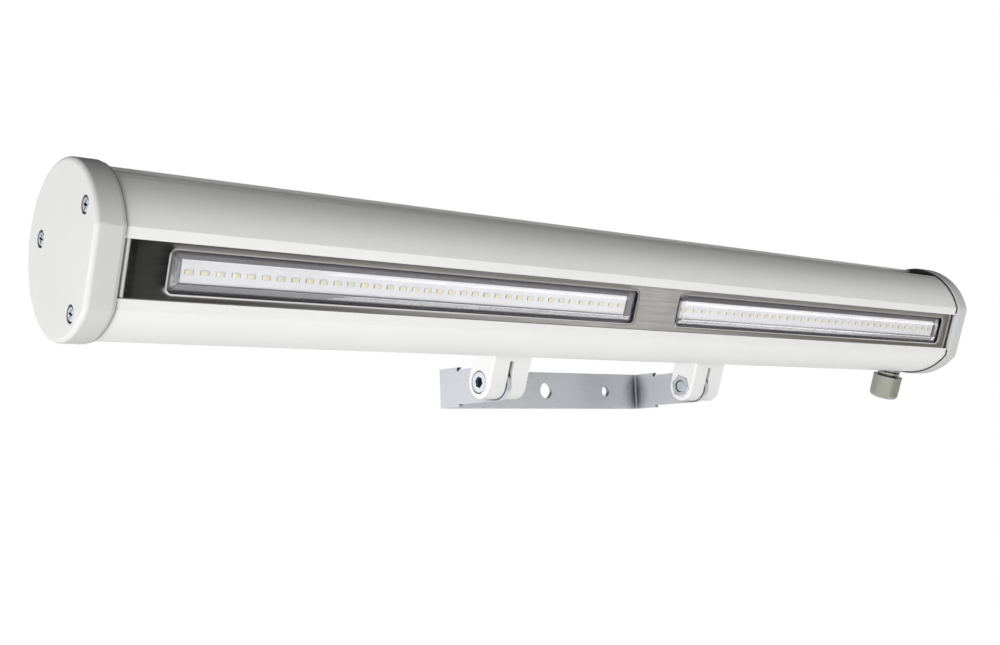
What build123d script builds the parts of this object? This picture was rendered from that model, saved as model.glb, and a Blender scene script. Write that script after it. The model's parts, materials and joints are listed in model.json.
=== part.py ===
from build123d import *
import math
import os

# Whole part: X runs along the tube, +Y points to the wall, +Z is up.
# The origin is on the wall side of the bracket's web, at its centre hole.
# The lamp is drawn upright about the tube's axis and then turned about the pivot.
# In that drawing "front" is the distance from the axis towards the light,
# and "height" is the distance above it.

tilt = 20.1
cut_over = 2.0

# Tube: a D-shaped extrusion with a T-slot on top and one underneath
tube_dia = 80.0
tube_wall = 2.8
flat_inset = 4.5
core_wall = 3.0
slot_mouth = 23.1
slot_undercut = 2.0
slot_lip = 1.8
slot_height = 4.5
slot_floor = 2.5
slot_side = 2.4
cavity_corner = 1.2
port_boss = 3.7
port_rib = 3.0
rail_height = 2.0
rail_thick = 1.5

# Stepped recess in the front flat, from the outside in
lip_gap = 26.5
lip_thick = 1.2
plate_thick = 1.0
plate_play = 0.1
plate_bite = 2.4
flange_thick = 1.5
seal_thick = 0.5
lens_bed = 27.8
board_bed = 20.0
board_bed_depth = 2.2

# Light modules, which also set the tube's length
module_shift = -2.8
lens_spacing = 29.5
lens_board_margin = 10.5
plate_left_margin = 18.75
plate_right_margin = 10.75
lens_width = 27.2
lens_corner = 4.5
window_margin = 3.7
window_corner = 2.8
bar_base = 18.2
bar_top = 10.8
bar_rise = 1.7
bar_corner = 2.2
bar_top_corner = 1.0
lens_skin = 2.0
hollow_base = 15.0
hollow_top = 8.0
hollow_corner = 2.0
seal_land = 3.4
board_length = 280.0
board_width = 12.0
board_thick = 1.6
tape_edge = 0.5
tape_thick = 0.3
chip_count = 36
chip_length = 3.5
chip_width = 2.8
chip_thick = 0.6
lead_hole = 6.0
lead_hole_inset = 12.0

# End caps, gaskets and their screws
cap_overhang = 1.5
cap_flat_overhang = 1.7
cap_depth = 12.8
cap_wall = 3.0
cap_round = 2.5
cap_bevel = 0.6
cap_column = 6.4
cap_rib = 2.0
gasket_thick = 1.2
gasket_inset = 0.2
gasket_window = 18.0
cap_screw_dia = 4.0
cap_screw_bite = 12.0
cap_head_dia = 7.6
cap_head_thick = 2.8
cap_head_edge = 0.8
cap_well_dia = 8.6
cap_well_depth = 4.4
screw_play = 0.2
thread_play = 0.05
front_port_reach_share = 0.884
front_port_bite = 0.19027
back_port_share = 0.672
cross_width = 1.0
cross_span = 4.4
cross_depth = 1.6

# Bracket and pivot
sheet = 3.0
bracket_width = 175.6
web_height = 24.0
arm_height = 21.1
arm_step = 21.1
bend_inside = 1.0
step_relief = 1.2
pivot_reach = 56.7
pivot_gap = 17.0
centre_hole_dia = 10.5
side_hole_dia = 7.0
side_hole_gap = 110.0
pivot_play = 0.08

# Lugs that slide into the lower T-slot and take the arms
lug_width = 28.8
lug_depth = 19.2
lug_soft = 0.8
arm_play = 0.2
lug_slot_gap = 1.5
foot_play = 0.15
grip_screw_dia = 4.0
grip_screw_gap = 10.0
grip_socket = 2.0

# Pivot bolts and nuts
bolt_dia = 8.0
bolt_head_dia = 13.0
bolt_head_thick = 8.0
bolt_head_edge = 0.6
bolt_well_play = 0.5
bolt_well_extra = 0.2
bolt_socket = 6.0
bolt_socket_depth = 4.0
bolt_hole_play = 0.2
nut_across = 13.0
nut_thick = 6.5
nut_proud = 0.5
nut_play = 0.1

# Cable gland
gland_inset = 13.2
gland_thread_dia = 16.0
gland_bore = 10.4
gland_inner_reach = 8.0
gland_washer_dia = 20.0
gland_washer_thick = 1.4
gland_collar_dia = 17.6
gland_collar_length = 7.4
gland_groove = 1.0
gland_groove_depth = 1.0
gland_ring_length = 2.0
gland_neck_dia = 15.0
gland_neck_length = 11.0
gland_nut_dia = 22.0
gland_nut_end_dia = 21.4
gland_nut_length = 18.0
gland_nut_round = 3.6
gland_nut_flat_count = 6
gland_nut_flat_depth = 0.7
gland_nut_wall = 2.4
gland_mouth = 11.8
gland_seal_bore = 7.0
locknut_across = 22.0
locknut_thick = 5.0
gland_play = 0.15

# Tray, driver, terminal block and leads inside the tube
tray_front = 8.0
tray_thick = 1.5
tray_play = 0.2
tray_notch = 36.0
tray_notch_height = 12.0
driver_place = -60.0
driver_length = 200.0
driver_width = 34.0
driver_depth = 24.0
driver_soft = 2.0
ear_length = 15.0
ear_thick = 2.5
tray_screw_dia = 4.0
tray_screw_head = 7.0
tray_screw_head_thick = 2.4
tray_screw_tail = 1.2
block_reach = 100.0
block_length = 30.0
block_width = 24.0
block_depth = 18.0
block_poles = 3
block_well = 5.0
block_well_depth = 6.0
block_entry = 3.2
block_entry_depth = 7.0
block_screw_dia = 3.0
block_screw_head = 5.5
lead_width = 4.0
lead_thick = 1.4
lead_bend = 4.0
lead_drop = 15.0
lead_pass_gap = 15.0
lead_pass_width = 10.0
mains_width = 18.0
mains_thick = 2.6
mains_bend = 24.0
mains_run_share = 0.3

# Sizes that follow from the ones above
tube_radius = tube_dia / 2
inside_radius = tube_radius - tube_wall
flat_front = tube_radius - flat_inset
lens_length = board_length + 2 * lens_board_margin
module_gap = lens_length + lens_spacing
modules_half = (module_gap + lens_length) / 2
tube_left = module_shift - modules_half - plate_left_margin
tube_right = module_shift + modules_half + plate_right_margin
tube_length = tube_right - tube_left
tube_shift = (tube_left + tube_right) / 2
slot_mouth_height = math.sqrt(tube_radius**2 - (slot_mouth / 2) ** 2)
slot_ceiling = slot_mouth_height - slot_lip
slot_bed = slot_ceiling - slot_height
slot_width = slot_mouth + 2 * slot_undercut
slot_block = slot_width + 2 * slot_side
cavity_height = slot_bed - slot_floor
groove_front = flat_front - lip_thick
groove_back = groove_front - plate_thick - plate_play
plate_width = lip_gap + 2 * plate_bite
seal_back = groove_back - flange_thick - seal_thick
lens_back = groove_back - flange_thick
board_floor = seal_back - board_bed_depth
core_front = board_floor - core_wall
board_face = board_floor + tape_thick + board_thick
chip_pitch = board_length / chip_count
module_places = {
    "left": module_shift - module_gap / 2,
    "right": module_shift + module_gap / 2,
}
lead_hole_places = {
    "left": module_places["left"] + board_length / 2 - lead_hole_inset,
    "right": module_places["right"] - board_length / 2 + lead_hole_inset,
}
lead_heights = {
    "left": (lead_width + lead_thick) / 2,
    "right": (lead_width + lead_thick) / -2,
}
port_reach = inside_radius * front_port_reach_share
front_port = core_front - port_boss + front_port_bite
front_port_height = math.sqrt(port_reach**2 - front_port**2)
back_port = inside_radius * back_port_share
port_places = [
    (front_port, front_port_height),
    (front_port, -front_port_height),
    (-back_port, 0),
]
cap_dia = tube_dia + 2 * cap_overhang
cap_flat = flat_front + cap_flat_overhang
pivot_drop = tube_radius + pivot_gap
lug_slot_top = tube_radius + lug_slot_gap
arm_middle = (bracket_width - sheet) / 2
pivot_end = arm_height / 2
bolt_well_depth = bolt_head_thick + bolt_well_extra
bolt_length = lug_width - bolt_well_depth
driver_front = tray_front - tray_thick / 2
driver_right = driver_place + driver_length / 2
lead_pass = driver_right + ear_length + lead_pass_gap
block_place = lead_pass + block_reach
gland_place = tube_right - gland_inset
gland_top = -slot_bed
gland_collar_top = gland_top - gland_washer_thick
gland_collar_end = gland_collar_top - gland_collar_length
gland_ring_end = gland_collar_end - gland_groove - gland_ring_length
gland_nut_top = gland_ring_end - gland_groove
gland_nut_bottom = gland_nut_top - gland_nut_length


def write(name, shape):
    export_step(shape, os.path.join("parts", name + ".step"))


def hang(shape):
    """Turn a piece of the lamp about the pivot and set it on the bracket."""
    return Pos(0, -pivot_reach, 0) * Rot(tilt, 0, 0) * Pos(0, 0, pivot_drop) * shape


def block_face(front_low, front_high, height_low, height_high):
    """A rectangle of the tube's cross-section."""
    middle = ((front_low + front_high) / -2, (height_low + height_high) / 2)
    return Pos(*middle) * Rectangle(front_high - front_low, height_high - height_low)


def d_face(radius, flat):
    """A circle cut off flat at the front."""
    beyond = block_face(flat, flat + 2 * radius, -radius - cut_over, radius + cut_over)
    return Circle(radius) - beyond


def dot_face(front, height, radius):
    return Pos(-front, height) * Circle(radius)


def run(face, start, length):
    """Carry a cross-section along the tube."""
    return extrude(Plane.YZ.offset(start) * face, amount=length)


def layer(face, back, thickness):
    """Thicken a face that is drawn as seen from the front."""
    return extrude(Plane.XZ.offset(back) * face, amount=thickness)


def post(face, low, high, place=0):
    """Carry a face drawn from above between two heights."""
    return extrude(Pos(place, 0, low) * face, amount=high - low)


def tray_rails():
    """Pairs of ribs that hold the tray at the top and bottom of the cavity."""
    near = tray_thick / 2 + plate_play
    face = None
    for side in (-1, 1):
        for end in (-1, 1):
            inner = tray_front + side * near
            outer = inner + side * rail_thick
            low = cavity_height - rail_height
            rail = block_face(min(inner, outer), max(inner, outer), low, cavity_height)
            rail = rail if end == 1 else mirror(rail, about=Plane.XZ)
            face = rail if face is None else face + rail
    return face


def tube_face():
    """Cross-section of the extrusion."""
    reach = tube_radius + cut_over
    cavity = Circle(inside_radius) - block_face(core_front, reach, -reach, reach)
    for low, high in ((cavity_height, reach), (-reach, -cavity_height)):
        cavity -= block_face(-slot_block / 2, slot_block / 2, low, high)
    cavity = fillet(cavity.vertices(), cavity_corner)
    cavity -= tray_rails()
    for front, height in port_places:
        cavity -= dot_face(front, height, port_boss)
    cavity -= block_face(-reach, -back_port, -port_rib / 2, port_rib / 2)
    face = d_face(tube_radius, flat_front) - cavity
    for end in (-1, 1):
        bands = ((slot_width, slot_bed, slot_ceiling), (slot_mouth, slot_bed, reach))
        for width, near, far in bands:
            low, high = sorted((end * near, end * far))
            face -= block_face(-width / 2, width / 2, low, high)
    steps = (
        (lip_gap, groove_front, flat_front + cut_over),
        (plate_width + 2 * plate_play, groove_back, groove_front),
        (lens_bed, seal_back, groove_back),
        (board_bed, board_floor, seal_back),
    )
    for width, back, front in steps:
        face -= block_face(back, front, -width / 2, width / 2)
    for front, height in port_places:
        face -= dot_face(front, height, cap_screw_dia / 2 + thread_play)
    return face


def lead_hole_face(side):
    return Pos(lead_hole_places[side], lead_heights[side]) * Circle(lead_hole / 2)


def tube_housing():
    tube = run(tube_face(), tube_left, tube_length)
    for side in lead_hole_places:
        tube -= layer(lead_hole_face(side), core_front, board_floor - core_front)
    gland_hole = Circle(gland_thread_dia / 2 + gland_play)
    tube -= post(gland_hole, -slot_bed, -cavity_height, gland_place)
    spot_face = Circle(locknut_across / math.sqrt(3) + gland_play)
    return tube - post(spot_face, -cavity_height, -cavity_height + rail_height, gland_place)


def end_cap():
    """Moulded cap for the left end, open towards the tube."""
    start = tube_left - gasket_thick - cap_depth
    radius = cap_dia / 2
    cap = run(d_face(radius, cap_flat), start, cap_depth)
    cap = fillet(cap.edges().group_by(Axis.X)[0], cap_round)
    cap = chamfer(cap.edges().group_by(Axis.X)[-1], cap_bevel)
    pocket = d_face(radius - cap_wall, cap_flat - cap_wall)
    for front, height in port_places:
        pocket -= dot_face(front, height, cap_column)
        reach = math.hypot(front, height)
        spoke = Pos(reach + radius / 2, 0) * Rectangle(radius, cap_rib)
        angle = math.degrees(math.atan2(height, -front))
        pocket -= Rot(0, 0, angle) * spoke
    cap -= run(pocket, start + cap_wall, cap_depth - cap_wall)
    for front, height in port_places:
        cap -= run(dot_face(front, height, cap_well_dia / 2), start, cap_well_depth)
        cap -= run(dot_face(front, height, cap_screw_dia / 2 + screw_play), start, cap_depth)
    return cap


def end_gasket():
    face = d_face(tube_radius - gasket_inset, flat_front - gasket_inset)
    face -= Circle(gasket_window)
    for front, height in port_places:
        face -= dot_face(front, height, cap_screw_dia / 2 + screw_play)
    return run(face, tube_left - gasket_thick, gasket_thick)


def cap_screws():
    """Three cross-head screws for the left cap."""
    seat = tube_left - gasket_thick - cap_depth + cap_well_depth
    length = tube_left + cap_screw_bite - seat
    top = seat - cap_head_thick
    screws = []
    for front, height in port_places:
        head = run(dot_face(front, height, cap_head_dia / 2), top, cap_head_thick)
        head = chamfer(head.edges().group_by(Axis.X)[0], cap_head_edge)
        cross = Rectangle(cross_width, cross_span) + Rectangle(cross_span, cross_width)
        head -= run(Pos(-front, height) * cross, top, cross_depth)
        head += run(dot_face(front, height, cap_screw_dia / 2), seat, length)
        screws.append(head)
    return Compound(screws)


def reflector_plate():
    """Polished strip with a window for each lens."""
    middle = Pos(tube_shift, 0)
    face = middle * Rectangle(tube_length, plate_width)
    window_length = lens_length - 2 * window_margin
    window_width = lens_width - 2 * window_margin
    for place in module_places.values():
        window = RectangleRounded(window_length, window_width, window_corner)
        face -= Pos(place, 0) * window
    return layer(face, groove_back + plate_play / 2, plate_thick)


def tapered_bar(place, back, rise, base, top, base_corner, top_corner):
    """A long low bar with sloping sides and ends."""
    inset = base - top
    lower_length = lens_length - (lens_width - base)
    lower = RectangleRounded(lower_length, base, base_corner)
    upper = RectangleRounded(lower_length - inset, top, top_corner)
    ends = [
        Plane.XZ.offset(back) * Pos(place, 0) * lower,
        Plane.XZ.offset(back + rise) * Pos(place, 0) * upper,
    ]
    return loft(ends, ruled=True)


def lens(place):
    """Clear cover: a flange under the plate and a raised bar over the chips."""
    flange = RectangleRounded(lens_length, lens_width, lens_corner)
    body = layer(Pos(place, 0) * flange, lens_back, flange_thick)
    front = lens_back + flange_thick
    body += tapered_bar(place, front, bar_rise, bar_base, bar_top, bar_corner, bar_top_corner)
    rise = flange_thick + bar_rise - lens_skin
    body -= tapered_bar(
        place, lens_back, rise, hollow_base, hollow_top, hollow_corner, bar_top_corner
    )
    return body


def lens_seal(place):
    outer = RectangleRounded(lens_length, lens_width, lens_corner)
    inner_length = lens_length - 2 * seal_land
    inner = RectangleRounded(inner_length, lens_width - 2 * seal_land, bar_top_corner)
    return layer(Pos(place, 0) * (outer - inner), seal_back, seal_thick)


def led_board(place):
    board = Pos(place, 0) * Rectangle(board_length, board_width)
    return layer(board, board_floor + tape_thick, board_thick)


def board_tape(side):
    length = lens_length - 2 * seal_land - 2 * tape_edge
    tape = Pos(module_places[side], 0) * Rectangle(length, board_bed - 2 * tape_edge)
    return layer(tape - lead_hole_face(side), board_floor, tape_thick)


def led_chips(place):
    first = place - chip_pitch * (chip_count - 1) / 2
    chips = []
    for index in range(chip_count):
        chip = Pos(first + index * chip_pitch, 0) * Rectangle(chip_length, chip_width)
        chips.append(layer(chip, board_face, chip_thick))
    return Compound(chips)


def wall_bracket():
    """U-shaped strip with stepped arms, rounded about the pivot."""
    reach = pivot_reach + pivot_end
    outer = Pos(0, -reach / 2) * Rectangle(bracket_width, reach)
    back = outer.vertices().group_by(Axis.Y)[-1]
    outer = fillet(back, bend_inside + sheet)
    inner = Pos(0, -reach / 2 - sheet) * Rectangle(bracket_width - 2 * sheet, reach)
    inner = fillet(inner.vertices().group_by(Axis.Y)[-1], bend_inside)
    strip = post(outer - inner, -web_height / 2, web_height / 2)
    side = Pos(-arm_step / 2, 0) * Rectangle(arm_step, web_height)
    narrow = pivot_reach - arm_step
    side += Pos(-arm_step - narrow / 2, 0) * Rectangle(narrow, arm_height)
    side += Pos(-pivot_reach, 0) * Circle(pivot_end)
    side -= Pos(-pivot_reach, 0) * Circle(bolt_dia / 2 + pivot_play)
    for end in (-1, 1):
        side -= Pos(-arm_step, end * arm_height / 2) * Circle(step_relief)
    bracket = strip & run(side, -bracket_width / 2, bracket_width)
    holes = Circle(centre_hole_dia / 2)
    for end in (-1, 1):
        holes += Pos(end * side_hole_gap / 2, 0) * Circle(side_hole_dia / 2)
    return bracket - layer(holes, 0, sheet)


def lug():
    """Left lug: a T-foot in the slot and two cheeks round the arm."""
    left = -arm_middle - lug_width / 2
    foot_top = -slot_bed - foot_play
    foot_bottom = -slot_ceiling + foot_play
    half = lug_depth / 2
    face = block_face(-half, half, -pivot_drop, foot_top)
    face += dot_face(0, -pivot_drop, half)
    foot = slot_width / 2 - foot_play
    face += block_face(-foot, foot, foot_bottom, foot_top)
    body = run(face, left, lug_width)
    soft = [
        edge
        for edge in body.edges()
        if edge.center().Z < -slot_mouth_height
        and abs(abs(edge.center().X + arm_middle) - lug_width / 2) < lug_soft / 2
    ]
    body = chamfer(soft, lug_soft)
    slot = sheet + 2 * arm_play
    gap = block_face(-lug_depth, lug_depth, -pivot_drop - lug_depth, -lug_slot_top)
    body -= run(gap, -arm_middle - slot / 2, slot)
    body -= run(dot_face(0, -pivot_drop, bolt_dia / 2 + bolt_hole_play), left, lug_width)
    well = dot_face(0, -pivot_drop, (bolt_head_dia + bolt_well_play) / 2)
    body -= run(well, left, bolt_well_depth)
    pocket = RegularPolygon((nut_across + 2 * nut_play) / 2, 6, major_radius=False)
    depth = nut_thick - nut_proud
    body -= run(Pos(0, -pivot_drop) * pocket, left + lug_width - depth, depth)
    for end in (-1, 1):
        hole = Pos(0, end * grip_screw_gap / 2) * Circle(grip_screw_dia / 2 + thread_play)
        body -= post(hole, -lug_slot_top, foot_top, -arm_middle)
    return body


def lug_grip_screws():
    """Headless screws that lock both lugs in the slot, two in each."""
    screws = []
    for side in (-1, 1):
        for end in (-1, 1):
            face = Pos(0, end * grip_screw_gap / 2) * Circle(grip_screw_dia / 2)
            screw = post(face, -lug_slot_top, -slot_bed, side * arm_middle)
            socket = Pos(0, end * grip_screw_gap / 2) * RegularPolygon(
                grip_socket / 2, 6, major_radius=False
            )
            depth = -lug_slot_top + grip_socket
            screw -= post(socket, -lug_slot_top, depth, side * arm_middle)
            screws.append(screw)
    return Compound(screws)


def pivot_bolt():
    """Left socket-head bolt, put in from the outer side."""
    seat = -arm_middle - lug_width / 2 + bolt_well_depth
    top = seat - bolt_head_thick
    bolt = run(dot_face(0, -pivot_drop, bolt_head_dia / 2), top, bolt_head_thick)
    bolt = chamfer(bolt.edges().group_by(Axis.X)[0], bolt_head_edge)
    socket = RegularPolygon(bolt_socket / 2, 6, major_radius=False)
    bolt -= run(Pos(0, -pivot_drop) * socket, top, bolt_socket_depth)
    shank = run(dot_face(0, -pivot_drop, bolt_dia / 2), seat, bolt_length)
    shank = chamfer(shank.edges().group_by(Axis.X)[-1], bolt_head_edge)
    return bolt + shank


def pivot_nut():
    """Hexagon nut in its pocket on the left lug's inner side."""
    start = -arm_middle + lug_width / 2 - nut_thick + nut_proud
    face = RegularPolygon(nut_across / 2, 6, major_radius=False)
    face -= Circle(bolt_dia / 2 + thread_play)
    nut = run(Pos(0, -pivot_drop) * face, start, nut_thick)
    cone_radius = nut_across / 2 + nut_proud
    cone = run(dot_face(0, -pivot_drop, cone_radius), start, nut_thick)
    cone = chamfer(cone.edges().group_by(Axis.X)[-1], nut_proud)
    return nut & cone


def gland_body():
    """Threaded stem through the slot's floor, collar, ring and neck."""
    radius = gland_collar_dia / 2
    core = gland_neck_dia / 2
    top = -cavity_height + gland_inner_reach
    body = post(Circle(gland_thread_dia / 2), gland_collar_top, top, gland_place)
    body += post(Circle(radius), gland_collar_end, gland_collar_top, gland_place)
    body += post(Circle(core), gland_nut_top - gland_neck_length, gland_collar_end, gland_place)
    ring_top = gland_collar_end - gland_groove
    body += post(Circle(radius - gland_groove_depth / 2), gland_ring_end, ring_top, gland_place)
    bottom = gland_nut_top - gland_neck_length
    return body - post(Circle(gland_bore / 2), bottom, top, gland_place)


def gland_washer():
    face = Circle(gland_washer_dia / 2) - Circle(gland_thread_dia / 2 + thread_play)
    return post(face, gland_collar_top, gland_top, gland_place)


def gland_locknut():
    face = RegularPolygon(locknut_across / 2, 6, major_radius=False, rotation=0)
    face = Rot(0, 0, 90) * face - Circle(gland_thread_dia / 2 + thread_play)
    return post(face, -cavity_height, -cavity_height + locknut_thick, gland_place)


def gland_nut():
    """Tapered dome nut with flats, open at its end for the cable."""
    upper = gland_nut_dia / 2
    lower = gland_nut_end_dia / 2
    ends = [
        Pos(gland_place, 0, gland_nut_bottom) * Circle(lower),
        Pos(gland_place, 0, gland_nut_top) * Circle(upper),
    ]
    nut = loft(ends, ruled=True)
    nut = fillet(nut.edges().group_by(Axis.Z)[0], gland_nut_round)
    flats = RegularPolygon(upper - gland_nut_flat_depth, gland_nut_flat_count, major_radius=False)
    nut &= post(flats, gland_nut_bottom, gland_nut_top, gland_place)
    inside = Circle(gland_neck_dia / 2 + thread_play)
    nut -= post(inside, gland_nut_bottom + gland_nut_wall, gland_nut_top, gland_place)
    return nut - post(Circle(gland_mouth / 2), gland_nut_bottom, gland_nut_top, gland_place)


def gland_seal():
    """Rubber insert between the neck and the nut's end wall."""
    low = gland_nut_bottom + gland_nut_wall
    flange_top = gland_nut_top - gland_neck_length
    seal = post(Circle(gland_neck_dia / 2), low, flange_top, gland_place)
    top = flange_top + gland_neck_length / 2
    seal += post(Circle(gland_bore / 2 - thread_play), flange_top, top, gland_place)
    return seal - post(Circle(gland_seal_bore / 2), low, top, gland_place)


def driver_tray():
    """Sheet that slides between the rails and carries the wiring."""
    height = 2 * (cavity_height - tray_play)
    face = Pos(tube_shift, 0) * Rectangle(tube_length - 2 * tray_play, height)
    notch_middle = (height - tray_notch_height) / -2
    face -= Pos(gland_place, notch_middle) * Rectangle(tray_notch, tray_notch_height)
    face -= Pos(lead_pass, 0) * RectangleRounded(
        lead_pass_width, driver_width / 2, lead_thick
    )
    for place in ear_places():
        face -= Pos(place, 0) * Circle(tray_screw_dia / 2 + thread_play)
    face -= Pos(block_place, 0) * Circle(block_screw_dia / 2 + thread_play)
    return layer(face, tray_front - tray_thick / 2, tray_thick)


def ear_places():
    reach = (driver_length + ear_length) / 2
    return (driver_place - reach, driver_place + reach)


def led_driver():
    """Driver case with a fixing ear at each end."""
    body = Rectangle(driver_length, driver_width)
    case = layer(Pos(driver_place, 0) * body, driver_front - driver_depth, driver_depth)
    case = fillet(case.edges().group_by(Axis.Y)[-1], driver_soft)
    ears = Rectangle(driver_length + 2 * ear_length, driver_width / 2)
    case += layer(Pos(driver_place, 0) * ears, driver_front - ear_thick, ear_thick)
    for place in ear_places():
        hole = Pos(place, 0) * Circle(tray_screw_dia / 2 + thread_play)
        case -= layer(hole, driver_front - ear_thick, ear_thick)
    return case


def tray_screw(place, dia, head_dia, under):
    """A pan-head screw driven towards the front, through what it holds."""
    head = layer(Pos(place, 0) * Circle(head_dia / 2), under - tray_screw_head_thick,
                 tray_screw_head_thick)
    tail = tray_front + tray_thick / 2 + tray_screw_tail
    return head + layer(Pos(place, 0) * Circle(dia / 2), under, tail - under)


def driver_screws():
    under = driver_front - ear_thick
    screws = [
        tray_screw(place, tray_screw_dia, tray_screw_head, under) for place in ear_places()
    ]
    return Compound(screws)


def terminal_block():
    """Three-pole block with screw wells at the back and a wire entry at each side."""
    block = layer(
        Pos(block_place, 0) * Rectangle(block_length, block_width),
        driver_front - block_depth,
        block_depth,
    )
    back = driver_front - block_depth
    pitch = block_width / block_poles
    for pole in range(block_poles):
        height = pitch * (pole - (block_poles - 1) / 2)
        for side in (-1, 1):
            place = block_place + side * block_length / 4
            well = Pos(place, height) * Circle(block_well / 2)
            block -= layer(well, back, block_well_depth)
            entry = dot_face(driver_front - block_depth / 2, height, block_entry / 2)
            start = block_place + side * block_length / 2
            start = start if side == -1 else start - block_entry_depth
            block -= run(entry, start, block_entry_depth)
    middle = Pos(block_place, 0)
    block -= layer(middle * Circle(block_screw_head / 2 + screw_play), back, block_depth / 2)
    return block - layer(middle * Circle(block_screw_dia / 2 + thread_play), back, block_depth)


def terminal_screw():
    under = driver_front - block_depth / 2
    return tray_screw(block_place, block_screw_dia, block_screw_head, under)


def flat_lead(points, bend, width, thickness, height):
    """A flat lead that lies in one plane along the tube."""
    route = FilletPolyline(*points, radius=bend)
    start = Plane(origin=route @ 0, z_dir=route % 0, x_dir=(0, 0, 1))
    lead = sweep(start * Rectangle(width, thickness), path=route)
    return Pos(0, 0, height) * lead


def led_lead(side):
    """From the back of a board, through the tube's core and the tray, to the driver."""
    crossing = -core_front + lead_drop / 2
    entry = -driver_front + driver_depth / 2
    points = [
        (lead_hole_places[side], -board_floor - tape_thick, 0),
        (lead_hole_places[side], crossing, 0),
        (lead_pass, crossing, 0),
        (lead_pass, entry, 0),
        (driver_right, entry, 0),
    ]
    return flat_lead(points, lead_bend, lead_width, lead_thick, lead_heights[side])


def mains_lead():
    """Three-core lead from the terminal block to the driver."""
    start = block_place - block_length / 2
    reach = start - driver_right
    near = -driver_front + block_depth / 2
    far = -driver_front + driver_depth - mains_thick
    points = [
        (start, near, 0),
        (start - reach * mains_run_share, near, 0),
        (driver_right + reach * mains_run_share, far, 0),
        (driver_right, far, 0),
    ]
    return flat_lead(points, mains_bend, mains_width, mains_thick, 0)


os.makedirs("parts", exist_ok=True)

write("wall_bracket", wall_bracket())

hung = {
    "tube_housing": tube_housing(),
    "reflector_plate": reflector_plate(),
    "driver_tray": driver_tray(),
    "led_driver": led_driver(),
    "driver_screws": driver_screws(),
    "terminal_block": terminal_block(),
    "terminal_screw": terminal_screw(),
    "mains_lead": mains_lead(),
    "lug_grip_screws": lug_grip_screws(),
    "gland_body": gland_body(),
    "gland_washer": gland_washer(),
    "gland_locknut": gland_locknut(),
    "gland_seal": gland_seal(),
    "gland_nut": gland_nut(),
}
for side, place in module_places.items():
    hung["lens_" + side] = lens(place)
    hung["lens_seal_" + side] = lens_seal(place)
    hung["led_board_" + side] = led_board(place)
    hung["board_tape_" + side] = board_tape(side)
    hung["led_chips_" + side] = led_chips(place)
    hung["led_lead_" + side] = led_lead(side)
ends = {"end_cap": end_cap(), "end_gasket": end_gasket(), "cap_screws": cap_screws()}
for name, shape in ends.items():
    hung[name + "_left"] = shape
    hung[name + "_right"] = mirror(shape, about=Plane.YZ.offset(tube_shift))
pivots = {"lug": lug(), "pivot_bolt": pivot_bolt(), "pivot_nut": pivot_nut()}
for name, shape in pivots.items():
    hung[name + "_left"] = shape
    hung[name + "_right"] = mirror(shape, about=Plane.YZ)

for name, shape in hung.items():
    write(name, hang(shape))

pivot_height = pivot_drop * math.cos(math.radians(tilt))
print("tube axis above the pivot:", round(pivot_height, 2), "mm")
print("length over the caps:", tube_length + 2 * (gasket_thick + cap_depth), "mm")
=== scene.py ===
import json
import math

import bmesh
import bpy
import numpy as np
from mathutils import Euler, Matrix, Vector


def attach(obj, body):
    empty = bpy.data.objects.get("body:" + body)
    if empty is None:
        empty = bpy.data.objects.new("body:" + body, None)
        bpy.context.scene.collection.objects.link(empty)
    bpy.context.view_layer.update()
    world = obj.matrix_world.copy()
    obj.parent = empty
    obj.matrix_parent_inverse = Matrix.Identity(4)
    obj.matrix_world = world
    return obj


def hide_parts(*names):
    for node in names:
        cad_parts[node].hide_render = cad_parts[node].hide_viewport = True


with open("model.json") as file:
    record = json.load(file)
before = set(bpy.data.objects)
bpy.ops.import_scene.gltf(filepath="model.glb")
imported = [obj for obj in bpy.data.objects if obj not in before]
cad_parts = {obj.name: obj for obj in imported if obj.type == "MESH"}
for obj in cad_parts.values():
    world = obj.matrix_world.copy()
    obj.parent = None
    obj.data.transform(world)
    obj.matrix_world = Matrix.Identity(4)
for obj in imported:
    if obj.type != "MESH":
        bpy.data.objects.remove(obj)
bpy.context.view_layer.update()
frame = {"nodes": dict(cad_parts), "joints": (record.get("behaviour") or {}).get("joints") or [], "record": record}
nodes = frame["nodes"]

# the lamp is drawn upright about its tube's axis, then turned about the pivot as the frame holds
# it; tilt is in degrees, and drop is how far the pivot lies below the tube's axis, in metres
lampPlace = {
    "tilt": 20.1,
    "drop": 0.057,
    "pivot": Vector(frame["joints"][0]["pos_m"]),
}
lampTurn = Matrix.Rotation(math.radians(lampPlace["tilt"]), 4, "X")
lampRise = Matrix.Translation((0, 0, lampPlace["drop"]))
lampMatrix = np.array(Matrix.Translation(lampPlace["pivot"]) @ lampTurn @ lampRise)


def toRow(points):
    # points are (along the tube, towards the back, up) from the tube's axis, in metres
    return np.asarray(points) @ lampMatrix[:3, :3].T + lampMatrix[:3, 3]


def toLamp(points):
    # the way back, from the frame's axes to the upright lamp's own
    return (points - lampMatrix[:3, 3]) @ lampMatrix[:3, :3]


def meshPoints(mesh):
    # one row for each vertex
    flat = np.empty(len(mesh.vertices) * 3)
    mesh.vertices.foreach_get("co", flat)
    return flat.reshape(-1, 3)


def movePoints(mesh, points):
    mesh.vertices.foreach_set("co", points.ravel())
    mesh.update()


def lampBox(node):
    # lowest and highest corners of a CAD node, along the upright lamp's own axes
    points = toLamp(meshPoints(nodes[node].data))
    return points.min(0), points.max(0)


def newObject(name, data):
    made = bpy.data.objects.new(name, data)
    bpy.context.scene.collection.objects.link(made)
    return made


def meshPiece(name, points, faces, smooth=True):
    # points are the upright lamp's own; the mesh takes them where the frame holds the lamp
    mesh = bpy.data.meshes.new(name)
    mesh.from_pydata(toRow(points).tolist(), [], np.asarray(faces).tolist())
    mesh.validate()
    if smooth:
        mesh.shade_smooth()
    return newObject(name, mesh)


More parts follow.
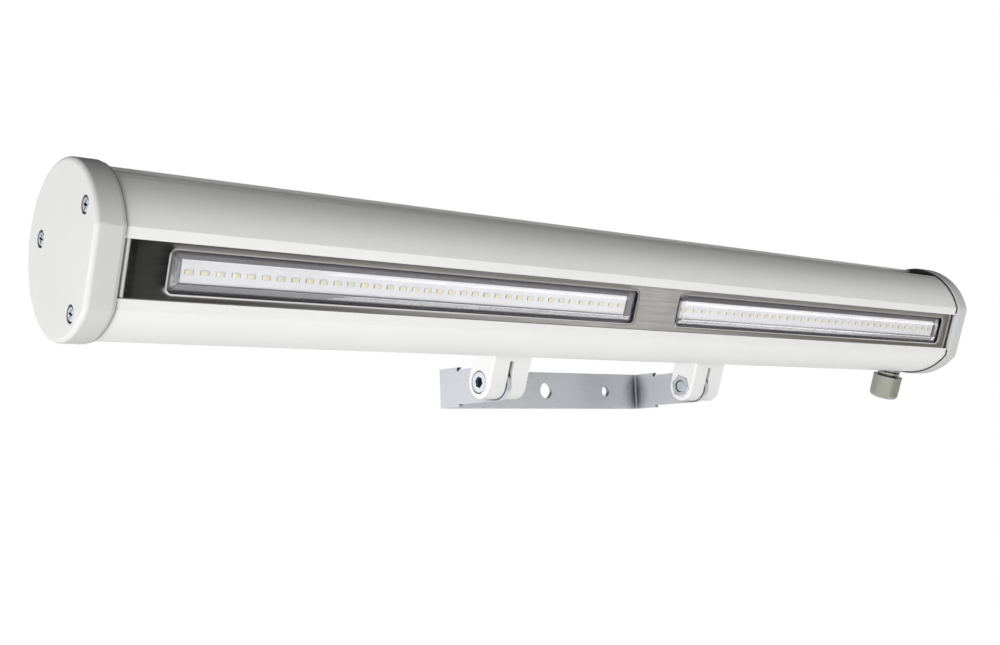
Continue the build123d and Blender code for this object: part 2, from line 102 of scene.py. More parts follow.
def gridFaces(rows, columns, closed=True):
    # quads of points kept row by row; the columns run round and close when asked
    r = np.arange(rows - 1)
    c = np.arange(columns if closed else columns - 1)
    row, column = (part.ravel() for part in np.meshgrid(r, c, indexing="ij"))
    beside = (column + 1) % columns
    corners = [row * columns + column, row * columns + beside,
               (row + 1) * columns + beside, (row + 1) * columns + column]
    return np.stack(corners, 1)


def roundedRing(halfLength, halfHeight, corner, sideSteps, endSteps, arcSteps=8):
    # a rounded rectangle: four quarter circles of the corner radius, joined by evenly divided sides
    turn = np.linspace(0, math.pi / 2, arcSteps)
    arcs = []
    for quarter, (signX, signZ) in enumerate(((1, 1), (-1, 1), (-1, -1), (1, -1))):
        angle = turn + quarter * math.pi / 2
        centre = np.array([signX * (halfLength - corner), signZ * (halfHeight - corner)])
        arcs.append(centre + corner * np.stack([np.cos(angle), np.sin(angle)], 1))
    path = []
    for arc, following, steps in zip(arcs, arcs[1:] + arcs[:1], (sideSteps, endSteps) * 2):
        share = np.linspace(0, 1, steps + 2)[1:-1, None]
        path += [arc, arc[-1] + (following[0] - arc[-1]) * share]
    return np.concatenate(path)


def tiled(points, faces, places):
    # the same small form set down at every place
    points = np.asarray(points)
    count = len(places)
    offset = np.arange(count)[:, None, None] * len(points)
    allPoints = (points[None] + np.asarray(places)[:, None]).reshape(-1, 3)
    return allPoints, (np.asarray(faces)[None] + offset).reshape(-1, 4)


# shader sockets that can be added, multiplied and so on
class Wire:
    def __init__(self, tree, socket):
        self.tree = tree
        self.socket = socket

    def maths(self, operation, *values):
        made = self.tree.node("ShaderNodeMath", {"operation": operation}, dict(enumerate(values)))
        return made["Value"]

    def __add__(self, other):
        return self.maths("ADD", self, other)

    def __radd__(self, other):
        return self.maths("ADD", other, self)

    def __mul__(self, other):
        return self.maths("MULTIPLY", self, other)

    def __rmul__(self, other):
        return self.maths("MULTIPLY", other, self)

    def __sub__(self, other):
        return self.maths("SUBTRACT", self, other)

    def __rsub__(self, other):
        return self.maths("SUBTRACT", other, self)

    def larger(self, other):
        return self.maths("MAXIMUM", self, other)


# a made node's outputs, by name or number
class Outputs:
    def __init__(self, tree, made):
        self.tree = tree
        self.made = made

    def __getitem__(self, name):
        return Wire(self.tree, self.made.outputs[name])


# a node tree whose nodes are made one call at a time
class NodeTree:
    def __init__(self, owner):
        owner.use_nodes = True
        self.owner = owner
        self.nodes = owner.node_tree.nodes
        self.links = owner.node_tree.links
        self.nodes.clear()

    def put(self, socket, value):
        if isinstance(value, Wire):
            self.links.new(value.socket, socket)
        else:
            socket.default_value = value

    def node(self, kind, settings=None, values=None):
        made = self.nodes.new(kind)
        for name, value in (settings or {}).items():
            if name == "stops":
                ramp = made.color_ramp
                while len(ramp.elements) < len(value):
                    ramp.elements.new(1)
                for element, (place, tone) in zip(ramp.elements, value):
                    element.position = place
                    element.color = (*tone, 1)
            else:
                setattr(made, name, value)
        for name, value in (values or {}).items():
            self.put(made.inputs[name], value)
        return Outputs(self, made)

    def spread(self, value, low, high, newLow, newHigh):
        values = {"Value": value, "From Min": low, "From Max": high,
                  "To Min": newLow, "To Max": newHigh}
        return self.node("ShaderNodeMapRange", {}, values)["Result"]

    def objectPlace(self, scale=(1, 1, 1), turn=0.0):
        place = self.node("ShaderNodeTexCoord")["Object"]
        values = {"Vector": place, "Rotation": (math.radians(turn), 0, 0), "Scale": scale}
        return self.node("ShaderNodeMapping", {"vector_type": "POINT"}, values)["Vector"]

    def noise(self, place, scale, detail, roughness=0.5):
        values = {"Vector": place, "Scale": scale, "Detail": detail, "Roughness": roughness}
        return self.node("ShaderNodeTexNoise", {}, values)["Fac"]

    def blend(self, mask, first, second):
        # a Mix node repeats its sockets' names, so its colours go by number: 6 and 7 in, 2 out
        first, second = (tone if isinstance(tone, Wire) else (*tone, 1) for tone in (first, second))
        values = {"Factor": mask, 6: first, 7: second}
        return self.node("ShaderNodeMix", {"data_type": "RGBA"}, values)[2]

    def mixShader(self, mask, first, second):
        values = {0: mask, 1: first, 2: second}
        return self.node("ShaderNodeMixShader", {}, values)["Shader"]

    def shaded(self, tone, distance, low, high, paintedShadeTone):
        # painted shade: the tone, and the deep shade tone where ambient occlusion finds surfaces within the
        # distance closing it in
        values = {"Distance": distance}
        near = self.node("ShaderNodeAmbientOcclusion", {"samples": 8}, values)["AO"]
        return self.blend(self.spread(near, low, high, 0, 1), paintedShadeTone, tone)

    def bump(self, height, strength, distance):
        values = {"Height": height, "Strength": strength, "Distance": distance}
        return self.node("ShaderNodeBump", {}, values)["Normal"]

    def finish(self, shader):
        kind = "World" if isinstance(self.owner, bpy.types.World) else "Material"
        self.node("ShaderNodeOutput" + kind, {}, {"Surface": shader})
        return self.owner

    def surface(self, values):
        return self.finish(self.node("ShaderNodeBsdfPrincipled", {}, values)["BSDF"])


def newFinish(name):
    return NodeTree(bpy.data.materials.new(name))


# powder coat, moulded plastic and rubber: how each family varies, by the scale and detail of the
# clouds in its colour, the part of their range that counts, the detail and bump of its fine grain,
# and how far the grain takes its roughness down and up
families = {
    "powder": {"clouds": (14.0, 3.0), "range": (0.35, 0.65), "detail": 1.0, "bump": 0.3,
               "rougher": (-0.04, 0.06)},
    "moulded": {"clouds": (25.0, 2.0), "range": (0.3, 0.7), "detail": 2.0, "bump": 0.4,
                "rougher": (-0.05, 0.08)},
    "gland": {"clouds": (160.0, 2.0), "range": (0.35, 0.65), "detail": 2.0, "bump": 0.4,
              "rougher": (-0.08, 0.1)},
}
grainRange = (0.3, 0.7)
# two tones, roughness, the grain's scale and depth, and for some the painted shade of their recesses, by
# its distance, the limits between which it sets in, and its tone
plainLooks = {
    "tube": {
        "name": "tubePowderCoat", "family": "powder", "roughness": 0.42,
        "tones": ((0.87, 0.87, 0.86), (0.85, 0.85, 0.838)), "grain": (900.0, 0.00003),
    },
    "lug": {
        "name": "lugPowderCoat", "family": "powder", "roughness": 0.5,
        "tones": ((0.79, 0.79, 0.785), (0.77, 0.77, 0.765)), "grain": (1200.0, 0.00003),
        # painted shade: the slot and the lug's other hollows turn near black
        "recess": (0.012, 0.06, 0.22, (0.02, 0.018, 0.012)),
    },
    "cap": {
        "name": "capPlastic", "family": "moulded", "roughness": 0.5,
        "tones": ((0.63, 0.632, 0.625), (0.61, 0.612, 0.605)), "grain": (2200.0, 0.00002),
        # painted shade: the screw wells and the cap's other hollows darken
        "recess": (0.005, 0.3, 0.6, (0.05, 0.05, 0.045)),
    },
    "rubber": {
        "name": "blackRubber", "family": "moulded", "roughness": 0.55,
        "tones": ((0.014, 0.014, 0.014), (0.022, 0.021, 0.02)), "grain": (1600.0, 0.00003),
    },
    "silicone": {
        "name": "lensSilicone", "family": "moulded", "roughness": 0.4,
        "tones": ((0.07, 0.066, 0.08), (0.09, 0.085, 0.10)), "grain": (1200.0, 0.00002),
    },
    "board": {
        "name": "boardMask", "family": "moulded", "roughness": 0.32,
        "tones": ((0.97, 0.965, 0.99), (0.94, 0.935, 0.965)), "grain": (1500.0, 0.000005),
    },
    "tape": {
        "name": "thermalTape", "family": "moulded", "roughness": 0.6,
        "tones": ((0.06, 0.058, 0.045), (0.045, 0.043, 0.034)), "grain": (1500.0, 0.00002),
    },
    "ledCase": {
        "name": "ledCase", "family": "moulded", "roughness": 0.35,
        "tones": ((0.93, 0.93, 0.91), (0.9, 0.9, 0.88)), "grain": (3000.0, 0.000004),
    },
    "phosphor": {
        "name": "ledPhosphor", "family": "moulded", "roughness": 0.3,
        "tones": ((0.97, 0.92, 0.62), (0.96, 0.9, 0.56)), "grain": (6000.0, 0.000004),
    },
    "terminal": {
        "name": "terminalPlastic", "family": "moulded", "roughness": 0.45,
        "tones": ((0.8, 0.8, 0.74), (0.76, 0.76, 0.7)), "grain": (1500.0, 0.00002),
    },
    "sheath": {
        "name": "leadSheath", "family": "moulded", "roughness": 0.5,
        "tones": ((0.75, 0.75, 0.73), (0.7, 0.7, 0.68)), "grain": (1500.0, 0.00002),
    },
}
# the gland's plastic has painted shade, near black, in the two thread gaps above its nut, by
# height below the tube's axis, and has a coat
glandLook = {
    "name": "glandPolyamide", "family": "gland", "roughness": 0.34,
    "tones": ((0.265, 0.27, 0.225), (0.235, 0.24, 0.198)), "grain": (1500.0, 0.00003),
    "gaps": ((-0.0421, -0.0406), (-0.0452, -0.0434)), "gapEdge": 0.0001,
    "gapTone": (0.006, 0.006, 0.005),
    "coat": {"Coat Weight": 1.0, "Coat Roughness": 0.12, "Coat IOR": 1.7},
}


def grained(look):
    # a finish's tree, and what its surface takes: clouds between two tones and a fine grain
    family = families[look["family"]]
    finish = newFinish(look["name"])
    place = finish.objectPlace()
    clouds = finish.noise(place, *family["clouds"])
    scale, depth = look["grain"]
    grain = finish.noise(place, scale, family["detail"])
    tone = finish.blend(finish.spread(clouds, *family["range"], 0, 1), *look["tones"])
    # for looks that have it, painted shade where surfaces close the finish in
    if "recess" in look:
        tone = finish.shaded(tone, *look["recess"])
    rough = [look["roughness"] + step for step in family["rougher"]]
    return finish, {"Base Color": tone, "Roughness": finish.spread(grain, *grainRange, *rough),
                    "Normal": finish.bump(grain, family["bump"], depth)}


def plainFinish(look):
    finish, values = grained(look)
    return finish.surface(values)


def glandPlastic():
    # height is the distance along the upright lamp's own upward axis
    look = glandLook
    finish, values = grained(look)
    upward = tuple(lampMatrix[:3, 2])
    reach = finish.node("ShaderNodeVectorMath", {"operation": "DOT_PRODUCT"},
                        {0: finish.objectPlace(), 1: upward})
    height = reach["Value"] - float(lampMatrix[:3, 3] @ lampMatrix[:3, 2])
    # painted shade: the plastic turns near black inside each thread gap
    for low, high in look["gaps"]:
        shadeInGap = finish.spread(height, low, low + look["gapEdge"], 0, 1)
        shadeInGap = shadeInGap * finish.spread(height, high, high - look["gapEdge"], 0, 1)
        values["Base Color"] = finish.blend(shadeInGap, values["Base Color"], look["gapTone"])
    return finish.surface({**values, **look["coat"]})


# metals: a grain stretched along one direction and faint stains, mixed by their shares; the painted
# shade of a recess goes as above
metalGrain = {"detail": (3.0, 0.6), "stains": (30.0, 2.0), "shares": (0.6, 0.4),
              "range": (0.35, 0.65), "roughRange": (0.7, 1.3), "rougher": (-0.04, 0.06),
              "bump": 0.25}
even = (1, 1, 1)
metalLooks = {
    "plate": {
        "name": "reflectorSteel", "metal": 1.0, "roughness": 0.15, "stretch": (0.03, 1, 1),
        "tones": ((0.64, 0.635, 0.62), (0.56, 0.555, 0.54)), "grain": (1400.0, 0.000006),
    },
    "bracket": {
        "name": "bracketSteel", "metal": 0.5, "roughness": 0.3, "stretch": (0.2, 1, 1),
        "tones": ((0.66, 0.675, 0.715), (0.61, 0.625, 0.665)), "grain": (700.0, 0.000002),
        # painted shade: the inner bend and the corners near the lugs darken, standing in for shade and dark
        # reflection there
        "recess": (0.022, 0.5, 0.85, (0.015, 0.018, 0.03)),
    },
    "zinc": {
        "name": "zincScrews", "metal": 0.8, "roughness": 0.2, "stretch": even,
        "tones": ((0.84, 0.88, 0.92), (0.74, 0.78, 0.84)), "grain": (900.0, 0.000006),
        # painted shade: heads in their wells, the bolt's socket and the nut's pocket darken to a deep blue that
        # also stands in for dark reflections
        "recess": (0.006, 0.3, 0.75, (0.012, 0.035, 0.10)),
    },
    "oxide": {
        "name": "blackScrews", "metal": 0.6, "roughness": 0.35, "stretch": even,
        "tones": ((0.05, 0.05, 0.055), (0.08, 0.08, 0.08)), "grain": (900.0, 0.00001),
    },
    "tin": {
        "name": "solderTin", "metal": 1.0, "roughness": 0.35, "stretch": even,
        "tones": ((0.45, 0.43, 0.38), (0.3, 0.28, 0.24)), "grain": (3000.0, 0.000004),
    },
    "sheet": {
        "name": "traySheet", "metal": 1.0, "roughness": 0.35, "stretch": (0.1, 1, 1),
        "tones": ((0.55, 0.56, 0.58), (0.48, 0.5, 0.52)), "grain": (600.0, 0.00001),
    },
    "case": {
        "name": "driverCase", "metal": 1.0, "roughness": 0.4, "stretch": (0.1, 1, 1),
        "tones": ((0.6, 0.61, 0.62), (0.54, 0.55, 0.57)), "grain": (600.0, 0.00001),
    },
}


def drawnMetal(look):
    finish = newFinish(look["name"])
    scale, depth = look["grain"]
    place = finish.objectPlace(look["stretch"], -lampPlace["tilt"])
    lines = finish.noise(place, scale, *metalGrain["detail"])
    stains = finish.noise(finish.objectPlace(), *metalGrain["stains"])
    lineShare, stainShare = metalGrain["shares"]
    mixed = lines * lineShare + stains * stainShare
    tone = finish.blend(finish.spread(mixed, *metalGrain["range"], 0, 1), *look["tones"])
    # for looks that have it, painted shade where surfaces close the finish in
    if "recess" in look:
        tone = finish.shaded(tone, *look["recess"])
    rough = [look["roughness"] + step for step in metalGrain["rougher"]]
    return finish.surface({
        "Base Color": tone,
        "Metallic": look["metal"],
        "Roughness": finish.spread(stains + lines, *metalGrain["roughRange"], *rough),
        "Normal": finish.bump(lines, metalGrain["bump"], depth),
    })


# clear polycarbonate with faint smears, which change its roughness alone
lensLook = {
    "smears": (60.0, 3.0),
    "roughness": (0.01, 0.04),
    "surface": {"Base Color": (0.995, 0.997, 1.0, 1), "Transmission Weight": 1.0, "IOR": 1.49,
                "Coat Weight": 1.0, "Coat Roughness": 0.02, "Coat IOR": 1.65},
}


def clearLens():
    finish = newFinish("lensClear")
    smears = finish.noise(finish.objectPlace(), *lensLook["smears"])
    rough = finish.spread(smears, *grainRange, *lensLook["roughness"])
    return finish.surface({**lensLook["surface"], "Roughness": rough})


finishes = {
    **{key: plainFinish(look) for key, look in plainLooks.items()},
    **{key: drawnMetal(look) for key, look in metalLooks.items()},
    "gland": glandPlastic(),
    "lens": clearLens(),
}
print("finishes made:", len(finishes))

nodeFinishes = {
    "tube_housing": "tube", "reflector_plate": "plate", "driver_tray": "sheet",
    "led_driver": "case", "driver_screws": "zinc", "terminal_block": "terminal",
    "terminal_screw": "zinc", "mains_lead": "sheath", "lug_grip_screws": "oxide",
    "gland_body": "gland", "gland_washer": "rubber", "gland_locknut": "gland",
    "gland_seal": "rubber", "gland_nut": "gland", "wall_bracket": "bracket",
    "lens": "lens", "lens_seal": "silicone", "led_board": "board", "board_tape": "tape",
    "led_chips": "ledCase", "led_lead": "sheath", "end_cap": "cap", "end_gasket": "rubber",
    "cap_screws": "zinc", "lug": "lug", "pivot_bolt": "zinc", "pivot_nut": "zinc",
}
# nodes that nothing shows, or that have no curved face worth shading, keep their CAD mesh
plainNodes = {"driver_tray", "led_driver", "driver_screws", "terminal_block", "terminal_screw",
              "mains_lead", "lug_grip_screws", "gland_locknut", "led_lead", "led_board",
              "board_tape"}
# nodes that a fuller piece stands for
dressedNodes = {"reflector_plate", "led_chips", "end_gasket", "lens_seal"}


def plainName(node):
    return node.removesuffix("_left").removesuffix("_right")


bodyOf = {}
for body, members in frame["record"]["behaviour"]["bodies"].items():
    bodyOf.update({member: body for member in members})


def settle(piece, finish, node, replaced=True):
    # a piece takes a node's body and slot, and stands for it when it replaces it
    piece.data.materials.clear()
    piece.data.materials.append(finishes[finish])
    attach(piece, bodyOf[node])
    if replaced:
        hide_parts(node)


# how a CAD node's mesh is shaded: corners nearer than merge join, triangles flatter than dissolve
# become one face, and edges sharper than angle stay or get the node's soft edge
smoothing = {"angle": 20.0, "merge": 0.000002, "dissolve": 0.4, "segments": 2, "weight": 80}
softEdges = {"lens": 0.00035, "lug": 0.0004, "pivot_bolt": 0.0003, "pivot_nut": 0.0003}
# the lower corner of each arm's step is plain in the look, without its bend relief
bracketLook = {"step": 0.0211, "halfArm": 0.01055, "relief": 0.0013}


def fillRelief(mesh):
    # vertices nearer to the corner than the relief's reach go to the corner itself
    points = meshPoints(mesh)
    corner = np.array([-bracketLook["step"], -bracketLook["halfArm"]])
    near = np.linalg.norm(points[:, 1:] - corner, axis=1) < bracketLook["relief"]
    points[near, 1:] = corner
    movePoints(mesh, points)


def smoothCopy(node):
    # the copy's corners join and its flat triangles become faces; weighted normals let the broad
    # faces lead the shading of the fillets beside them
    mesh = nodes[node].data.copy()
    mesh.name = node + "Smooth"
    if node == "wall_bracket":
        fillRelief(mesh)
    work = bmesh.new()
    work.from_mesh(mesh)
    bmesh.ops.remove_doubles(work, verts=work.verts, dist=smoothing["merge"])
    if node != "wall_bracket":
        flat = math.radians(smoothing["dissolve"])
        bmesh.ops.dissolve_limit(work, angle_limit=flat, verts=work.verts, edges=work.edges)
    work.to_mesh(mesh)
    work.free()
    mesh.shade_smooth()
    mesh.set_sharp_from_angle(angle=math.radians(smoothing["angle"]))
    piece = newObject(node + ".smooth", mesh)
    if plainName(node) in softEdges:
        edges = piece.modifiers.new("edges", "BEVEL")
        edges.width = softEdges[plainName(node)]
        edges.segments = smoothing["segments"]
        edges.angle_limit = math.radians(smoothing["angle"])
        edges.use_clamp_overlap = True
    weights = piece.modifiers.new("weights", "WEIGHTED_NORMAL")
    weights.keep_sharp = True
    weights.weight = smoothing["weight"]
    return piece


# the cap screws' heads, all but their seats, stand higher in their wells than in the solids
screwLook = {"head": 0.00275, "rise": 0.0014}


def raiseHeads(node):
    # vertices within the head's height of the outer end move outwards along the tube
    mesh = bpy.data.objects[node + ".smooth"].data
    points = toLamp(meshPoints(mesh))
    outward = -points[:, 0] if node.endswith("left") else points[:, 0]
    head = outward > outward.max() - screwLook["head"]
    points[head, 0] += np.sign(points[head, 0]) * screwLook["rise"]
    movePoints(mesh, toRow(points))


for node, shown in nodes.items():
    plain = plainName(node)
    finish = nodeFinishes[node if node in nodeFinishes else plain]
    shown.data.materials.clear()
    shown.data.materials.append(finishes[finish])
    if plain not in plainNodes and plain not in dressedNodes:
        settle(smoothCopy(node), finish, node)
    if plain == "cap_screws":
        raiseHeads(node)
print("CAD nodes dressed:", len(nodes))


# a seam closes where two rings of points lie nearer than this
seamReach = 0.00001


def closeSeams(piece):
    piece.modifiers.new("joined", "WELD").merge_threshold = seamReach


# polished strip: pillowed towards its edges, with a rolled lip round each window
plateLook = {
    "thickness": 0.0005,
    "lipReach": (0.0, 0.0002, 0.0004, 0.0006, 0.0009, 0.002, 0.0032, 0.0045, 0.006, 0.0075),
    "lipSide": (0.0, 0.0002, 0.0004, 0.0006, 0.0009, 0.0014, 0.0019, 0.0024, 0.003, 0.0036),
    "lipDrop": (-0.00025, -0.00023, -0.00015, -0.00006, -0.00001, 0, 0, 0, 0, 0),
    "swellRise": 0.00032,
    "swellReach": 0.0066,
    "innerShare": 0.15,
    "lowerShare": 0.2,
    "innerBlend": 0.015,
    "windowMargin": 0.0037,
    "windowCorner": 0.0028,
    "outerCorner": 0.0003,
    "sideStart": 0.0108,
    "sideDrop": 0.0005,
    "endReach": 0.005,
    "endDrop": 0.001,
    "rings": (0.12, 0.3, 0.5, 0.75, 1.0),
    "sideSteps": 60,
    "endSteps": 10,
}


def plateCell(lens, left, right, halfHeight, inward):
    # rings from the window's edge outwards: rounded rectangles that grow by the lip's reach, then
    # blend into the cell's own rectangle; the swell falls off as the square of the share of its
    # reach that is left, and is slight below and at the end that faces the other window
    look = plateLook
    low, high = lampBox(lens)
    middle = (low[0] + high[0]) / 2
    halfLength = (high[0] - low[0]) / 2 - look["windowMargin"]
    halfWindow = (high[2] - low[2]) / 2 - look["windowMargin"]
    steps = (look["sideSteps"], look["endSteps"])
    rings = []
    drops = []
    for reach, side, drop in zip(look["lipReach"], look["lipSide"], look["lipDrop"]):
        ring = roundedRing(halfLength + reach, halfWindow + side, look["windowCorner"] + side,
                           *steps)
        near = (inward * ring[:, 0] - halfLength) / look["innerBlend"] + 1
        swell = look["swellRise"] * max(0, 1 - reach / look["swellReach"]) ** 2
        swell *= 1 - (1 - look["innerShare"]) * np.clip(near, 0, 1)
        below = (-ring[:, 1] - halfWindow + look["windowCorner"]) / look["windowCorner"]
        swell *= 1 - (1 - look["lowerShare"]) * np.clip(below, 0, 1)
        rings.append(ring + (middle, 0))
        drops.append(drop - swell)
    outer = roundedRing((right - left) / 2, halfHeight, look["outerCorner"], *steps)
    outer += ((left + right) / 2, 0)
    start = rings[-1]
    for share in look["rings"]:
        rings.append(start + (outer - start) * share)
        drops.append(np.zeros(len(start)))
    return np.concatenate(rings), np.concatenate(drops), gridFaces(len(rings), len(outer))


def reflectorPlate():
    # the strip falls away as the square of the distance past where its upper side and ends begin
    look = plateLook
    low, high = lampBox("reflector_plate")
    leftLens, rightLens = lampBox("lens_left"), lampBox("lens_right")
    seam = (leftLens[1][0] + rightLens[0][0]) / 2
    halfHeight = (high[2] - low[2]) / 2
    points, drops, faces = [], [], []
    count = 0
    for lens, left, right, inward in (("lens_left", low[0], seam, 1),
                                      ("lens_right", seam, high[0], -1)):
        cell, drop, quads = plateCell(lens, left, right, halfHeight, inward)
        points.append(cell)
        drops.append(drop)
        faces.append(quads + count)
        count += len(cell)
    flat = np.concatenate(points)
    side = np.clip((flat[:, 1] - look["sideStart"]) / (halfHeight - look["sideStart"]), 0, 1)
    edge = np.minimum(flat[:, 0] - low[0], high[0] - flat[:, 0])
    end = np.clip(1 - edge / look["endReach"], 0, 1)
    drop = np.concatenate(drops) + look["sideDrop"] * side**2 + look["endDrop"] * end**2
    full = np.stack([flat[:, 0], low[1] + drop, flat[:, 1]], 1)
    piece = meshPiece("reflectorPlate", full, np.concatenate(faces)[:, ::-1])
    closeSeams(piece)
    sheet = piece.modifiers.new("sheet", "SOLIDIFY")
    sheet.thickness = look["thickness"]
    sheet.offset = -1
    return piece


settle(reflectorPlate(), "plate", "reflector_plate")
print("reflector strip made")


# silicone bed of each lens: its inner lip lies over the board's edges and leaves the chips free
sealLook = {
    "innerHalf": 0.0053,
    "innerReach": 0.0012,
    "innerCorner": 0.0008,
    "outerCorner": 0.0045,
    "steps": (40, 6),
}


def lensSeal(side):
    # outer and inner rounded rectangles at the front and the back of the bed, joined round it
    look = sealLook
    low, high = lampBox("lens_seal_" + side)
    board = lampBox("led_board_" + side)
    boardHalf = (board[1][0] - board[0][0]) / 2
    half = (high - low) / 2
    centre = ((high + low) / 2)[[0, 2]]
    outer = roundedRing(half[0], half[2], look["outerCorner"], *look["steps"]) + centre
    inner = roundedRing(boardHalf + look["innerReach"], look["innerHalf"], look["innerCorner"],
                        *look["steps"]) + centre
    section = [(inner, low[1]), (outer, low[1]), (outer, high[1]), (inner, high[1]),
               (inner, low[1])]
    points = [np.stack([loop[:, 0], np.full(len(loop), y), loop[:, 1]], 1) for loop, y in section]
    faces = gridFaces(len(points), len(outer))[:, ::-1]
    piece = meshPiece("lensSeal." + side, np.concatenate(points), faces, smooth=False)
    closeSeams(piece)
    return piece


for side in ("left", "right"):
    settle(lensSeal(side), "silicone", "lens_seal_" + side)


# black gasket under each cap: it stands a little proud of the tube and leaves the strip's end free
gasketLook = {
    "window": 0.018,
    "proud": 0.001,
    "inset": 0.0002,
    "flange": 0.0002,
    "stripHalf": 0.0147,
    "stripLevel": 0.031,
    "arcSteps": 121,
    "near": 0.00005,
}


def tubeOutline(offset):
    # the tube's round outline and its flat, both moved out by the offset; past the strip's edge
    # the flat steps back to the strip's level
    look = gasketLook
    radius, flat = tubeSize["radius"] + offset, tubeSize["flat"] + offset
    corner = math.acos(flat / radius)
    turn = np.linspace(corner, 2 * math.pi - corner, look["arcSteps"])
    arc = np.stack([radius * np.cos(turn), radius * np.sin(turn)], 1)
    half, level = look["stripHalf"], look["stripLevel"]
    step = [(flat, -half), (level, -half), (level, half), (flat, half)]
    return np.concatenate([arc, step])


def gasket(side):
    # six outlines, one for each corner of the gasket's section, joined round the section
    look = gasketLook
    low, high = lampBox("end_gasket_" + side)
    capSide, tubeSide = (low[0], high[0]) if side == "left" else (high[0], low[0])
    flange = tubeSide - look["flange"] * np.sign(tubeSide - capSide)
    outline = tubeOutline(look["proud"])
    hole = outline / np.linalg.norm(outline, axis=1)[:, None] * look["window"]
    inner = tubeOutline(-look["inset"])
    section = [(hole, capSide), (inner, capSide), (inner, flange), (outline, flange),
               (outline, tubeSide), (hole, tubeSide), (hole, capSide)]
    points = [np.stack([np.full(len(loop), x), -loop[:, 0], loop[:, 1]], 1) for loop, x in section]
    faces = gridFaces(len(points), len(outline))
    if side == "left":
        faces = faces[:, ::-1]
    piece = meshPiece("gasket." + side, np.concatenate(points), faces, smooth=False)
    closeSeams(piece)
    return piece


def reachOver(node, gasketNode):
    # the cap's skirt reaches over its gasket and leaves the gasket's flange in view: the vertices
    # of the skirt's end are moved along the tube
    look = gasketLook
    low, high = lampBox(gasketNode)
    if node.endswith("left"):
        old, new = low[0], high[0] - look["flange"]
    else:
        old, new = high[0], low[0] + look["flange"]
    mesh = bpy.data.objects[node + ".smooth"].data
    points = toLamp(meshPoints(mesh))
    points[np.abs(points[:, 0] - old) < look["near"], 0] = new
    movePoints(mesh, toRow(points))


tubeBox = lampBox("tube_housing")
tubeSize = {"radius": tubeBox[1][1], "flat": -tubeBox[0][1]}
for side in ("left", "right"):
    settle(gasket(side), "rubber", "end_gasket_" + side)
    reachOver("end_cap_" + side, "end_gasket_" + side)
print("seals and gaskets made")


# light-emitting chips: a white case with a sunk cup, a domed phosphor and a solder fillet each side
ledLook = {
    "count": 36,
    "length": 0.0035,
    "width": 0.0028,
    "height": 0.0006,
    "edge": 0.00012,
    "cupLength": 0.0028,
    "cupWidth": 0.0021,
    "cupCorner": 0.0003,
    "cupDepth": 0.00022,
    "cupDraft": 0.00012,
    "dome": 0.00005,
    "phosphorRings": ((0.93, 0.1), (0.965, 0.7), (0.8, 0.85), (0.45, 1.0)),
    "solderWidth": 0.8,
    "solderOverlap": 0.00005,
    "solderReach": 0.0006,
    "solderHeight": 0.00035,
    "solderSteps": 5,
    "solderAcross": ((-1, 0.3), (-0.85, 1), (0.85, 1), (1, 0.3)),
}


def stackRings(rings):
    # rings of points, one above the next; the last points and the first ones are folded together
    # across the ring, so that four-sided faces close both ends
    rings = [np.asarray(ring) for ring in rings]
    count = len(rings[0])
    side = np.arange(count // 2 - 1)
    fold = np.stack([side, side + 1, count - 2 - side, count - 1 - side], 1)
    fold = fold[fold[:, 1] < fold[:, 2]]
    top = fold + count * (len(rings) - 1)
    faces = [gridFaces(len(rings), count), top, fold[:, ::-1]]
    return np.concatenate(rings), np.concatenate(faces)


def flatRing(halfLength, halfHeight, corner, level):
    # a rounded rectangle of few points, at a level in front of the board
    ring = roundedRing(halfLength, halfHeight, corner, 1, 1, 3)
    return np.stack([ring[:, 0], np.full(len(ring), -level), ring[:, 1]], 1)


def ledCase():
    # five rings: the base, the sides' top, the edge round the face, the cup's rim and its floor
    look = ledLook
    half, across = look["length"] / 2, look["width"] / 2
    cup, cupAcross = look["cupLength"] / 2, look["cupWidth"] / 2
    edge, draft, top = look["edge"], look["cupDraft"], look["height"]
    rings = [
        flatRing(half, across, edge, 0),
        flatRing(half, across, edge, top - edge),
        flatRing(half - edge, across - edge, edge, top),
        flatRing(cup, cupAcross, look["cupCorner"], top),
        flatRing(cup - draft, cupAcross - draft, look["cupCorner"], top - look["cupDepth"]),
    ]
    return stackRings(rings)


def ledPhosphor():
    # rings by a share of the cup's size and a share of the way up, from its floor to the dome's top
    look = ledLook
    cup, cupAcross = look["cupLength"] / 2, look["cupWidth"] / 2
    floor = look["height"] - look["cupDepth"]
    rise = look["cupDepth"] + look["dome"]
    rings = [
        flatRing(cup * share, cupAcross * share, look["cupCorner"] * share, floor + rise * up)
        for share, up in look["phosphorRings"]
    ]
    return stackRings(rings)


def solderFillet(side):
    # a hollow wedge from the board up to the case's side: its height falls as the square of the
    # share of its reach that is left, and it is lower at both ends of its width
    look = ledLook
    half, across = look["length"] / 2, look["width"] / 2 * look["solderWidth"]
    u = np.linspace(0, 1, look["solderSteps"])
    along = half - look["solderOverlap"] + look["solderReach"] * u
    level = look["solderHeight"] * (1 - u) ** 2
    rings = [
        np.stack([side * along, -level * full, np.full(len(u), across * share)], 1)
        for share, full in look["solderAcross"]
    ]
    faces = gridFaces(len(rings), len(u), closed=False)
    return np.concatenate(rings), faces if side > 0 else faces[:, ::-1]


def ledPlaces(side):
    # one chip to each solid of the node, evenly spread between the ends of the row
    low, high = lampBox("led_chips_" + side)
    inset = ledLook["length"] / 2
    along = np.linspace(low[0] + inset, high[0] - inset, ledLook["count"])
    return np.stack([along, np.full(len(along), high[1]), np.zeros(len(along))], 1)


for side in ("left", "right"):
    places = ledPlaces(side)
    node = "led_chips_" + side
    cases = meshPiece("ledCases." + side, *tiled(*ledCase(), places), smooth=False)
    settle(cases, "ledCase", node)
    settle(meshPiece("ledPhosphor." + side, *tiled(*ledPhosphor(), places)), "phosphor", node)
    for end, direction in (("start", -1), ("end", 1)):
        fillet = meshPiece("solder." + side + "." + end, *tiled(*solderFillet(direction), places))
        settle(fillet, "tin", "led_board_" + side, replaced=False)
print("light strips made")


